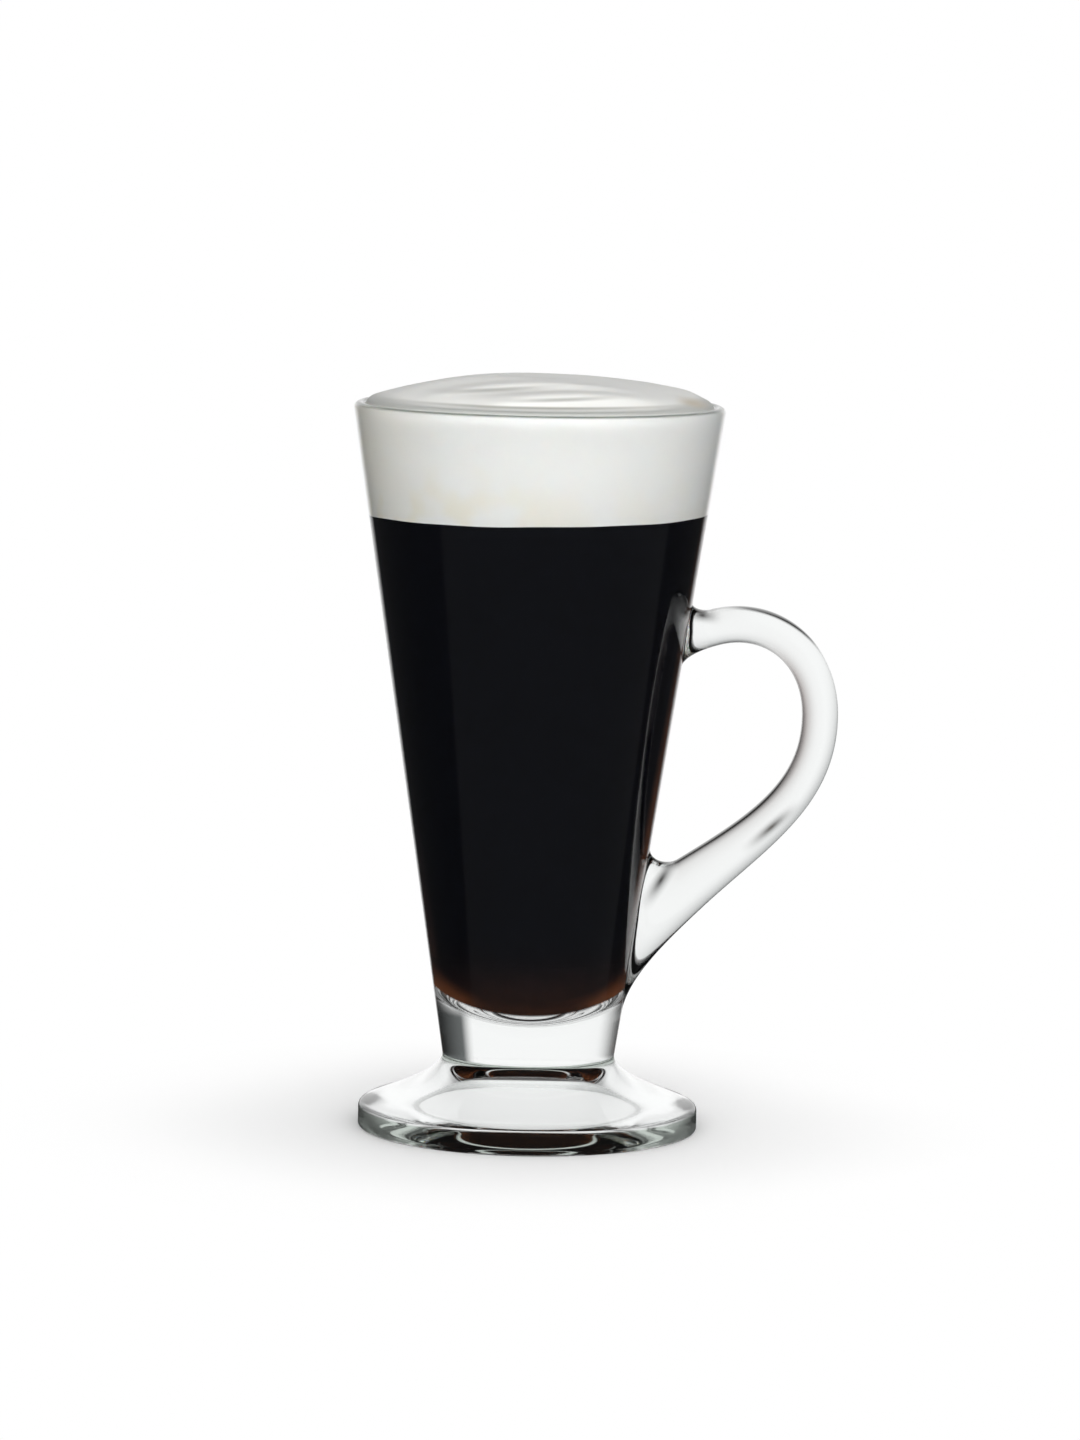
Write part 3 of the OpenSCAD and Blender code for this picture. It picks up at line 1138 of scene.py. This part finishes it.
@dataclass(frozen=True)
class CreamFold:
    """A long soft fold on the cream, along a quadratic curve seen from above."""

    points: tuple[tuple[float, float], ...]
    rise: float
    gentle_w: float
    steep_w: float
    path_steps: int = 241

    def height(self, x: Array, y: Array) -> Array:
        """Rise of the fold: a bell across its line, wider on the gentle side, that fades to its ends.

        Args:
            x: Places along X.
            y: Places along Y.

        Returns:
            The heights above the plain dome.
        """
        t = np.linspace(0, 1, self.path_steps)
        path = quadratic(self.points, t)
        away = np.stack([np.ravel(x), np.ravel(y)], axis=1)[:, None, :] - path[None, :, :]
        near = np.argmin(np.sum(away**2, axis=2), axis=1)
        offset = away[np.arange(len(near)), near]
        way = unit(np.gradient(path, axis=0))[near]
        side = way[:, 0] * offset[:, 1] - way[:, 1] * offset[:, 0]
        far = np.hypot(offset[:, 0], offset[:, 1])
        bell = np.exp(-((far / np.where(side > 0, self.gentle_w, self.steep_w)) ** 2))
        fade = np.sin(np.pi * t[near])
        return (self.rise * bell * fade).reshape(np.shape(x))


@dataclass
class Drink:
    """Black coffee, and the head of cream that stands on it above the rim."""

    bowl: Bowl
    seat: float = 0.05
    tilt: float = 0.6
    edge_h: float = 0.6
    edge_w: float = 1.6
    dome_power: float = 1.25
    fold_sink: float = 0.7
    gutter_h: float = 0.9
    gutter_shares: tuple[float, float] = (0.91, 0.07)
    gutter_front_shares: tuple[float, float] = (0.25, 0.75)
    fold_end_share: float = 0.85
    wavers: tuple[tuple[float, int, float], ...] = ((0.08, 2, 0.7), (0.06, 5, 2.1), (0.04, 11, 0.0))
    slope_step: float = 0.2
    cells: int = 120
    floor_rows: int = 24
    coffee_rows: int = 50
    cream_rows: int = 16
    lid_rows: int = 12
    edge_rows: int = 12
    folds: tuple[CreamFold, ...] = (
        CreamFold(points=((-32.0, -10.0), (-12.0, -6.0), (8.0, -14.0)), rise=1.0, gentle_w=7.0, steep_w=5.0),
        CreamFold(points=((-24.0, -18.0), (-4.0, -23.0), (22.0, -14.0)), rise=1.1, gentle_w=5.0, steep_w=2.2),
        CreamFold(points=((-14.0, -29.0), (4.0, -30.0), (26.0, -18.0)), rise=0.9, gentle_w=4.0, steep_w=2.0),
        CreamFold(points=((-24.0, 13.0), (0.0, 4.0), (22.0, -3.0)), rise=0.5, gentle_w=8.0, steep_w=4.0),
        CreamFold(points=((34.0, -6.0), (32.0, 4.0), (22.0, 20.0)), rise=0.7, gentle_w=9.0, steep_w=9.0),
        CreamFold(points=((26.0, 10.0), (8.0, 22.0), (-14.0, 25.0)), rise=0.5, gentle_w=7.0, steep_w=3.0))

    def line_z(self, a: Array) -> Array:
        """Height of the coffee at angles round the wall: it leans to the handle, and its wavers are sines."""
        waver = sum(height * np.sin(turns * a + start) for height, turns, start in self.wavers)
        return self.bowl.levels.drink + self.tilt * np.cos(a) + waver

    def wall_grid(self, z: Array, a: Array) -> tuple[Array, Array]:
        """Grid on the inner wall, set a little into the glass so that no air shows between them.

        Args:
            z: Heights, rows by columns.
            a: Angles of the columns.

        Returns:
            The grid's points and its normals.
        """
        r = self.bowl.inner_r(z) + self.seat
        points = np.stack([r * np.cos(a), r * np.sin(a), z], axis=-1)
        return points, self.bowl.wall_normals(points)

    def crown(self, edge_r: float) -> tuple[Array, Array]:
        """Top of the cream: a square grid rounded off and lifted to the cream's height.

        Args:
            edge_r: Radius at the sheet's edge.

        Returns:
            The grid's points and its normals, from the height's slopes.
        """
        side = np.linspace(-1, 1, self.cells + 1)
        x, y = (c * edge_r for c in square_to_disc(*np.meshgrid(side, side)))
        d = self.slope_step
        slope_x = (self.crown_z(x + d, y) - self.crown_z(x - d, y)) / (2 * d)
        slope_y = (self.crown_z(x, y + d) - self.crown_z(x, y - d)) / (2 * d)
        return (np.stack([x, y, self.crown_z(x, y)], axis=-1),
                unit(np.stack([-slope_x, -slope_y, np.ones_like(x)], axis=-1)))

    def columns(self) -> Array:
        """Angles round the bowl that meet the border of the cream's top."""
        return np.mod(np.pi / 2 - border_angles(self.cells), 2 * np.pi)

    def coffee(self, finish: BlackCoffee) -> None:
        """Make the coffee and dress it.

        It fills the rounded floor and the wall up to the wavering line, where a lid closes it.

        Args:
            finish: The coffee's finish.
        """
        shell, a = Shell("coffee_fill"), self.columns()
        floor = self.bowl.floor_profile(self.floor_rows, self.seat)
        shell.add(*turned(floor, a), wrap=True)
        share = np.linspace(0, 1, self.coffee_rows)[:, None]
        edge_z = self.bowl.floor_edge_z
        shell.add(*self.wall_grid(edge_z + (self.line_z(a) - edge_z)[None, :] * share, a), wrap=True)
        self.lid(shell, a, 1.0)
        settle(shell.build([finish.material()]), "coffee")

    def lid(self, shell: Shell, a: Array, side: float) -> None:
        """Close a piece at the height of the coffee, from the wavering line to the middle.

        Args:
            shell: The piece.
            a: Angles of the columns.
            side: 1 where the piece is below the lid, -1 where it is above.
        """
        z = self.line_z(a)
        edge, _ = self.wall_grid(z[None, :], a)
        share = np.linspace(1, 0, self.lid_rows)[:, None, None]
        middle = np.array([0.0, 0.0, self.bowl.levels.drink])
        points = middle + (edge - middle) * share
        shell.add(points, np.broadcast_to(np.array([0.0, 0.0, side]), points.shape), wrap=True)

    def crown_z(self, x: Array, y: Array) -> Array:
        """Height of the cream: a low dome with a few long soft folds and a gutter inside the rim's front.

        The dome falls with the square of the distance from the axis, raised to dome_power. Each fold
        rises gently on one side of its line, falls quickly on the other and fades out towards its ends.
        The gutter is a bell across the radius.

        Args:
            x: Places along X.
            y: Places along Y.

        Returns:
            The heights.
        """
        edge_r = self.bowl.inner_r(self.bowl.rim_start_z)
        rise = self.bowl.levels.crown - self.bowl.levels.rim
        q = (x**2 + y**2) / edge_r**2
        dome = self.bowl.levels.rim + rise - (rise - self.edge_h) * q**self.dome_power
        for fold in self.folds:
            dome = dome + fold.height(x, y) * (1 - smooth(np.sqrt(q), self.fold_end_share, 1.0))
        middle, width = self.gutter_shares
        gutter = self.gutter_h * np.exp(-(((np.sqrt(q) - middle) / width) ** 2))
        return dome - self.fold_sink * (1 - q) - gutter * smooth(-y / edge_r, *self.gutter_front_shares)

    def cream(self, finish: WhippedCream) -> None:
        """Make the head of cream and dress it.

        It stands on the coffee, follows the wall to the rim and turns in to the dome by quadratic curves.

        Args:
            finish: The cream's finish.
        """
        shell, a = Shell("cream_swirl"), self.columns()
        top_z = self.bowl.rim_start_z
        self.lid(shell, a, -1.0)
        share = np.linspace(0, 1, self.cream_rows)[:, None]
        low = self.line_z(a)[None, :]
        shell.add(*self.wall_grid(low + (top_z - low) * share, a), wrap=True)
        edge_r = self.bowl.inner_r(top_z) + self.seat
        inner_r = edge_r - self.edge_w
        t = np.linspace(0, 1, self.edge_rows)[:, None]
        around = np.stack([np.cos(a), np.sin(a)], axis=1)
        corner_z, inner_z = self.crown_z(*(edge_r * around.T)), self.crown_z(*(inner_r * around.T))
        r = edge_r * (1 - t) ** 2 + 2 * edge_r * t * (1 - t) + inner_r * t**2
        z = top_z * (1 - t) ** 2 + 2 * corner_z * t * (1 - t) + inner_z * t**2
        points = np.stack([r * around[:, 0], r * around[:, 1], z], axis=-1)
        drop, fall = np.gradient(z, axis=0), np.gradient(np.broadcast_to(r, z.shape), axis=0)
        normals = unit(np.stack([drop * around[:, 0], drop * around[:, 1], -fall], axis=-1))
        shell.add(points, normals, wrap=True)
        shell.add(*self.crown(inner_r))
        settle(shell.build([finish.material(self.bowl.levels)]), "cream_head")


@dataclass
class Studio:
    """The pale floor, the soft light round the mug and the camera at the photograph's place.

    Bands of the room are pairs of where a step begins and ends, along one axis of a unit direction.
    """

    camera_at: tuple[float, float, float] = (1.15, -1300.0, 235.0)
    pitch: float = 6.66
    roll: float = 1.05
    sensor: float = 36.0
    lens: float = 161.98
    ambient: float = 0.13
    frontal: float = 12.6
    back: float = 2.3
    lobe_power: float = 8.0
    lobe_floor_share: float = 0.0273
    side: float = 0.5
    side_floor_share: float = 0.212
    panel_glow: float = 0.1
    dark_glow: float = 0.03
    under_glow: float = 0.93
    back_glow: float = 0.6
    right_glow: float = 0.12
    left_glow: float = 0.25
    ceiling_glow: float = 0.12
    right_band: Band = (0.45, 1.0)
    left_band: Band = (-0.98, -0.6)
    front_band: Band = (-0.15, 0.15)
    rear_band: Band = (-0.3, -0.6)
    panel_slope: float = -0.277
    panel_band: Band = (-0.08, -0.15)
    middle_band: Band = (0.86, 0.98)
    ceiling_band: Band = (0.7, 0.9)
    mirror_top: Band = (0.6, 0.85)
    glass_top: Band = (0.3, 0.8)
    floor_share: float = 0.84
    floor_half_m: float = 4.0
    floor_drop_mm: float = 0.02
    foot_edge_mm: Band = (34.0, 36.0)
    plain_mm: Band = (50.0, 115.0)
    shade_reach_mm: float = 75.0
    shade_power: float = 1.8
    bounces: int = 32
    glossy_bounces: int = 12
    diffuse_bounces: int = 6

    @staticmethod
    def seen_rays(sheet: NodeSheet) -> tuple[bpy.types.NodeSocket, ...]:
        """Tell rays that show a thing from rays that light one.

        Args:
            sheet: The tree that asks.

        Returns:
            1 for a camera ray, 1 for a ray that a mirror turned last, and 1 for one that glass turned last.
        """
        path = sheet.add("ShaderNodeLightPath").outputs
        fresh = sheet.math("LESS_THAN", path["Diffuse Depth"], 0.5)
        through = sheet.times(path["Is Transmission Ray"], fresh)
        turned_ray = sheet.times(path["Is Glossy Ray"], fresh)
        return path["Is Camera Ray"], sheet.math("GREATER_THAN", turned_ray, through), through

    def room(self, sheet: NodeSheet, vector: bpy.types.NodeSocket) -> tuple[bpy.types.NodeSocket, ...]:
        """Brightness of the room all round, by the level direction of a vector.

        A white backdrop stands behind the mug and turns grey to the sides, darker on the right, and the
        room behind the camera is pale. A mirror shows only the backdrop's middle, and a dim panel in front.

        Args:
            sheet: The tree that asks.
            vector: A direction, or a place on the floor.

        Returns:
            The backdrop as glass shows it, and what a mirror shows of it with the panel.
        """
        axes = sheet.axes(sheet.vector("NORMALIZE", sheet.level(vector)).outputs[0])
        right = sheet.step(axes["X"], *self.right_band, 1.0, self.right_glow)
        left = sheet.step(axes["X"], *self.left_band, self.left_glow, 1.0)
        ahead = sheet.step(axes["Y"], *self.front_band)
        rear = sheet.step(axes["Y"], *self.rear_band, 0.0, self.back_glow)
        backdrop = sheet.math("MAXIMUM", sheet.times(right, left, ahead), rear)
        edge = sheet.math("MULTIPLY_ADD", axes["X"], self.panel_slope, axes["Y"])
        panel = sheet.step(edge, *self.panel_band, self.dark_glow, self.panel_glow)
        return backdrop, sheet.math("MAXIMUM", sheet.step(axes["Y"], *self.middle_band), panel)

    def light(self) -> None:
        """Soft light from all round, more from the front and the back; behind the mug a white backdrop.

        Light falls off from straight ahead and straight behind as a power of the cosine. Glass shows
        the backdrop, dark sides, a dim front panel and a pale ceiling, as it would in a small studio.
        """
        world = bpy.data.worlds.new("studio_light")
        world.use_nodes = True
        bpy.context.scene.world = world
        sheet = NodeSheet(world.node_tree)
        way = sheet.add("ShaderNodeTexCoord").outputs["Generated"]
        axes = sheet.axes(way)
        front = sheet.math("MAXIMUM", sheet.times(axes["Y"], -1.0), 0.0)
        rear = sheet.math("MAXIMUM", axes["Y"], 0.0)
        lit = sheet.math("MULTIPLY_ADD", sheet.math("MAXIMUM", axes["X"], 0.0), self.side, self.ambient)
        for lobe, strength in ((front, self.frontal), (rear, self.back)):
            lit = sheet.math("MULTIPLY_ADD", sheet.math("POWER", lobe, self.lobe_power), strength, lit)
        backdrop, room = self.room(sheet, way)
        ceiling = sheet.step(axes["Z"], *self.ceiling_band, 0.0, self.ceiling_glow)
        in_mirror = sheet.times(room, sheet.step(axes["Z"], *self.mirror_top, 1.0, 0.0))
        in_mirror = sheet.math("MAXIMUM", ceiling, in_mirror)
        in_glass = sheet.times(backdrop, sheet.step(axes["Z"], *self.glass_top, 1.0, self.ceiling_glow))
        direct, mirrored, through = self.seen_rays(sheet)
        strength = lit
        for kind, shown in ((mirrored, in_mirror), (through, in_glass), (direct, 1.0)):
            mixed = sheet.add("ShaderNodeMix", {0: kind, 2: strength, 3: shown}, data_type="FLOAT")
            strength = mixed.outputs[0]
        background = sheet.add("ShaderNodeBackground", {"Color": (1.0, 1.0, 1.0, 1.0), "Strength": strength})
        sheet.output(background.outputs[0], "ShaderNodeOutputWorld")

    def floor(self) -> None:
        """Pale floor that keeps the mug's soft shadow and turns to plain white further off.

        The lift makes up for the light that the matt floor lacks to look white to the camera, and falls
        off in the mug's shade. Rays that come by way of glass or a mirror see the room in the floor
        instead, and a pale disc under the foot.
        """
        half, z = self.floor_half_m, -self.floor_drop_mm * MM
        mesh = bpy.data.meshes.new("floor")
        corners = [(x * half, y * half, z) for x, y in ((-1, -1), (1, -1), (1, 1), (-1, 1))]
        mesh.from_pydata(corners, [], [(0, 1, 2, 3)])
        material, sheet = new_material("pale_floor")
        place = sheet.place()
        far = sheet.length(place)
        direct, mirrored, through = self.seen_rays(sheet)
        backdrop, room = self.room(sheet, place)
        under = sheet.step_mm(far, self.foot_edge_mm, self.under_glow, 0.0)
        beyond = sheet.times(backdrop, sheet.step_mm(far, self.foot_edge_mm))
        shown = sheet.math("ADD", sheet.times(room, mirrored),
                           sheet.times(sheet.math("ADD", under, beyond), through))
        shade = sheet.add("ShaderNodeAmbientOcclusion", {"Distance": self.shade_reach_mm * MM}, samples=8)
        lift = 1.0 - self.floor_share * (self.ambient + self.lobe_floor_share * (self.frontal + self.back)
                                         + self.side_floor_share * self.side)
        lift = sheet.times(sheet.math("POWER", shade.outputs["AO"], self.shade_power), lift)
        matt = sheet.add("ShaderNodeBsdfDiffuse", {"Color": (*[self.floor_share] * 3, 1.0)})
        glow = sheet.add("ShaderNodeEmission", {"Strength": sheet.times(direct, lift)})
        near = sheet.add("ShaderNodeAddShader", {0: matt.outputs[0], 1: glow.outputs[0]})
        white = sheet.add("ShaderNodeEmission", {"Strength": 1.0})
        share = sheet.times(sheet.step_mm(far, self.plain_mm), direct)
        plain = sheet.add("ShaderNodeMixShader", {0: share, 1: near.outputs[0], 2: white.outputs[0]})
        inset = sheet.add("ShaderNodeEmission", {"Strength": shown})
        both = sheet.add("ShaderNodeMixShader", {0: sheet.math("MAXIMUM", mirrored, through),
                                                 1: plain.outputs[0], 2: inset.outputs[0]})
        sheet.output(both.outputs[0])
        mesh.materials.append(material)
        floor = bpy.data.objects.new("floor", mesh)
        bpy.context.scene.collection.objects.link(floor)

    def camera(self) -> None:
        """Camera for a picture of 1080 by 1440, tipped down and slightly rolled."""
        data = bpy.data.cameras.new("photo_camera")
        data.sensor_fit, data.sensor_width, data.lens = "AUTO", self.sensor, self.lens
        camera = bpy.data.objects.new("photo_camera", data)
        camera.matrix_world = (Matrix.Translation([c * MM for c in self.camera_at])
                               @ Matrix.Rotation(math.radians(90 - self.pitch), 4, "X")
                               @ Matrix.Rotation(math.radians(self.roll), 4, "Z"))
        bpy.context.scene.collection.objects.link(camera)
        bpy.context.scene.camera = camera

    def build(self) -> None:
        """Set the studio up, with enough bounces for light to cross the glass."""
        scene = bpy.context.scene
        scene.view_settings.view_transform = "Standard"
        scene.cycles.max_bounces = self.bounces
        scene.cycles.transmission_bounces = self.bounces
        scene.cycles.transparent_max_bounces = self.bounces
        scene.cycles.glossy_bounces = self.glossy_bounces
        scene.cycles.diffuse_bounces = self.diffuse_bounces
        self.camera()
        self.light()
        self.floor()


# Painted reflections: dark on the rim from above, and on the left of the solid base
BOWL_GLASS = ClearGlass("bowl_clear_glass", painted_reflection_tones=(
    PaintedEdgeReflection(towards=(0.0, 0.0, 1.0), start=0.4, end=0.85, tone=(0.24, 0.27, 0.24)),
    PaintedEdgeReflection(towards=(-0.99, 0.0, -0.14), start=0.60, end=0.74, tone=(0.16, 0.17, 0.17), top_mm=28.0)))
# Painted reflection: greenish grey on the upright edge, and clear again underneath
FOOT_GLASS = ClearGlass("foot_clear_glass", rough=0.06, painted_reflection_tones=(
    PaintedEdgeReflection(towards=(0.0, 0.0, -1.0), start=-0.6, end=-0.15, tone=(0.56, 0.61, 0.57)),
    PaintedEdgeReflection(towards=(0.0, 0.0, -1.0), start=0.3, end=0.6, tone=(0.987, 0.995, 0.992))))
# Painted reflections: grey on the left and below, dark along the top and in corners, with dark streaks
HANDLE_GLASS = ClearGlass("handle_clear_glass", painted_reflection_tones=(
    PaintedEdgeReflection(towards=(-1.0, 0.0, 0.0), start=-0.2, end=0.95, tone=(0.54, 0.50, 0.49)),
    PaintedEdgeReflection(towards=(0.6, 0.0, -0.8), start=0.0, end=0.95, tone=(0.56, 0.57, 0.57)),
    PaintedEdgeReflection(towards=(0.4, 0.0, 0.917), start=0.78, end=0.92, tone=(0.05, 0.05, 0.05)),
    PaintedEdgeReflection(towards=(-0.62, 0.0, 0.78), start=0.84, end=0.95, tone=(0.05, 0.045, 0.04)),
    PaintedDarkStreak(middle_mm=(48.2, 62.8), slope=42.0, half_l=8.5, half_w=1.6, tone=(0.02, 0.017, 0.014)),
    PaintedDarkStreak(middle_mm=(26.2, 51.6), slope=58.0, half_l=8.0, half_w=2.0, tone=(0.004, 0.0035, 0.003)),
    PaintedDarkStreak(middle_mm=(33.4, 105.4), slope=-6.0, half_l=4.5, half_w=1.8, tone=(0.004, 0.0035, 0.003))))


def main() -> None:
    """Load the frame and build each piece, logging each piece's face count."""
    logging.basicConfig(level=logging.INFO, format="%(message)s")
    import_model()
    Studio().build()
    joint = FusedJoint()
    bowl = Bowl(Levels.from_frame())
    handle = Handle(bowl)
    bowl.build(handle.prints(), BOWL_GLASS, joint)
    Foot(bowl).build(FOOT_GLASS, joint)
    handle.build(HANDLE_GLASS, joint)
    drink = Drink(bowl)
    drink.coffee(BlackCoffee())
    drink.cream(WhippedCream())


if __name__ == "__main__":
    main()
